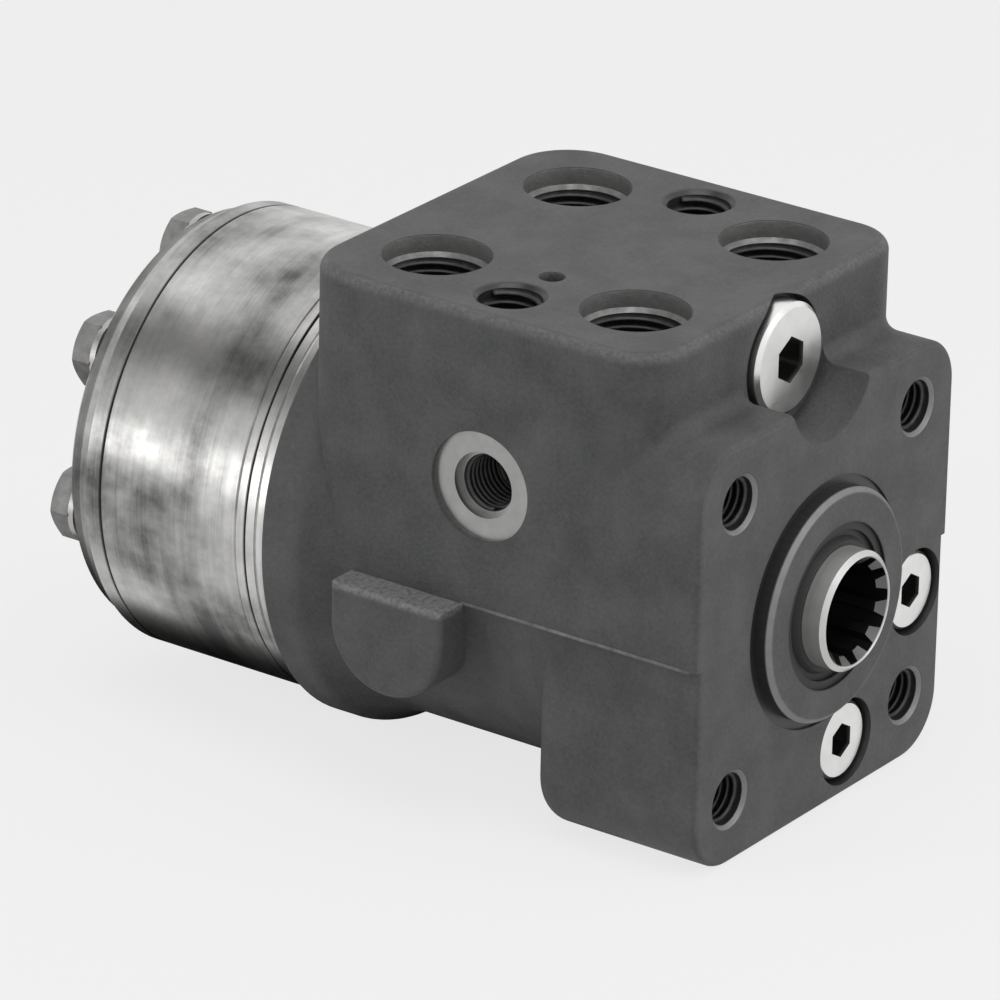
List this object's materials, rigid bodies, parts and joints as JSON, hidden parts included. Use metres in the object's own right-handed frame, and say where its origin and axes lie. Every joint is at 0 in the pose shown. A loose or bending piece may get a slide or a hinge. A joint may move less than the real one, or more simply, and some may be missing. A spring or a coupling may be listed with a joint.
{
  "type": "orbital steering unit",
  "caption": "Hydrostatic steering unit: cast valve housing with threaded ports, splined rotary spool and sleeve, gerotor metering drum and bolted end cover on one axis.",
  "frame": {"origin": "shaft axis in the mounting face that meets the steering column", "axes": "+Y along the shaft to the end cover, +Z out of the port face, +X to the right seen from the column"},
  "size_m": [0.097, 0.1566, 0.1031],
  "materials": {
    "cast_housing": "dark matt phosphated casting",
    "seal_rubber": "matt black rubber",
    "spool_steel": "ground and polished",
    "bearing_steel": "ground, hard",
    "spring_steel": "blued spring steel",
    "turned_steel": "fine turned and oiled",
    "gear_steel": "hardened and ground",
    "screw_steel": "dark plated screws",
    "washer_metal": "flat sealing washers",
    "zinc_plugs": "bright zinc plate",
    "valve_steel": "ground valve parts",
    "bonded_seal": "bonded sealing washer"
  },
  "bodies": {
    "unit": {"housing": "cast_housing", "dust_seal": "seal_rubber", "shaft_seal": "seal_rubber", "thrust_bearing_front_race": "bearing_steel", "distributor_plate": "turned_steel", "gear_ring": "turned_steel", "end_cover": "turned_steel", "housing_face_seal": "seal_rubber", "gear_ring_front_seal": "seal_rubber", "gear_ring_rear_seal": "seal_rubber", "end_cover_screws": "screw_steel", "pin_screw": "screw_steel", "screw_washers": "washer_metal", "check_valve_bush": "screw_steel", "relief_valve_plug": "zinc_plugs", "relief_valve_seal": "bonded_seal", "relief_adjusting_screw": "zinc_plugs", "relief_spring": "spring_steel", "relief_seat": "valve_steel", "shock_valve_plugs": "zinc_plugs", "shock_valve_seals": "bonded_seal", "shock_adjusting_screws": "zinc_plugs", "upper_shock_spring": "spring_steel", "lower_shock_spring": "spring_steel", "shock_valve_seats": "valve_steel"},
    "thrust_bearing": {"thrust_bearing_cage": "bearing_steel", "thrust_bearing_needles": "bearing_steel"},
    "sleeve_set": {"sleeve": "spool_steel", "thrust_bearing_rear_race": "bearing_steel", "cross_pin": "spool_steel", "spring_retaining_ring": "spring_steel", "flat_leaf_springs": "spring_steel", "arched_leaf_springs": "spring_steel"},
    "spool_body": {"spool": "spool_steel"},
    "orbiting_spacer": {"spacer": "gear_steel"},
    "rotor_body": {"rotor": "gear_steel"},
    "cardan_body": {"cardan_shaft": "gear_steel"},
    "relief_poppet_body": {"relief_poppet": "valve_steel"},
    "upper_shock_ball_body": {"upper_shock_ball": "bearing_steel"},
    "lower_shock_ball_body": {"lower_shock_ball": "bearing_steel"},
    "check_ball_body": {"check_ball": "bearing_steel"}
  },
  "joints": [
    {"name": "sleeve_turn", "type": "hinge", "parent": "unit", "child": "sleeve_set", "pos_m": [0, 0.05, 0], "axis": [0, 1, 0], "continuous": true},
    {"name": "spool_deflection", "type": "hinge", "parent": "sleeve_set", "child": "spool_body", "pos_m": [0, 0.05, 0], "axis": [0, 1, 0], "range_deg": [-10, 10], "stiffness_Nm_per_rad": 6, "deforming": ["flat_leaf_springs", "arched_leaf_springs"]},
    {"name": "bearing_roll", "type": "hinge", "parent": "unit", "child": "thrust_bearing", "pos_m": [0, 0.012, 0], "axis": [0, 1, 0], "continuous": true},
    {"name": "rotor_orbit", "type": "hinge", "parent": "unit", "child": "orbiting_spacer", "pos_m": [0, 0.117, 0], "axis": [0, 1, 0], "continuous": true},
    {"name": "rotor_spin", "type": "hinge", "parent": "orbiting_spacer", "child": "rotor_body", "pos_m": [0, 0.117, 0.0031], "axis": [0, 1, 0], "continuous": true},
    {"name": "cardan_spin", "type": "hinge", "parent": "orbiting_spacer", "child": "cardan_body", "pos_m": [0, 0.037, 0], "axis": [0, 0.9991, 0.0419], "continuous": true},
    {"name": "relief_lift", "type": "slide", "parent": "unit", "child": "relief_poppet_body", "axis": [0, -1, 0], "range_m": [0, 0.002], "stiffness_N_per_m": 2000, "deforming": ["relief_spring"]},
    {"name": "upper_shock_lift", "type": "slide", "parent": "unit", "child": "upper_shock_ball_body", "axis": [0, -1, 0], "range_m": [0, 0.0015], "stiffness_N_per_m": 1500, "deforming": ["upper_shock_spring"]},
    {"name": "lower_shock_lift", "type": "slide", "parent": "unit", "child": "lower_shock_ball_body", "axis": [0, -1, 0], "range_m": [0, 0.0015], "stiffness_N_per_m": 1500, "deforming": ["lower_shock_spring"]},
    {"name": "check_ball_lift", "type": "slide", "parent": "unit", "child": "check_ball_body", "axis": [0, 1, 0], "range_m": [0, 0.001]}
  ],
  "couplings": [
    {"joint": "bearing_roll", "follows": "sleeve_turn", "ratio": 0.5},
    {"joint": "rotor_orbit", "follows": "sleeve_turn", "ratio": -6},
    {"joint": "rotor_spin", "follows": "sleeve_turn", "ratio": 7},
    {"joint": "cardan_spin", "follows": "sleeve_turn", "ratio": 7}
  ]
}
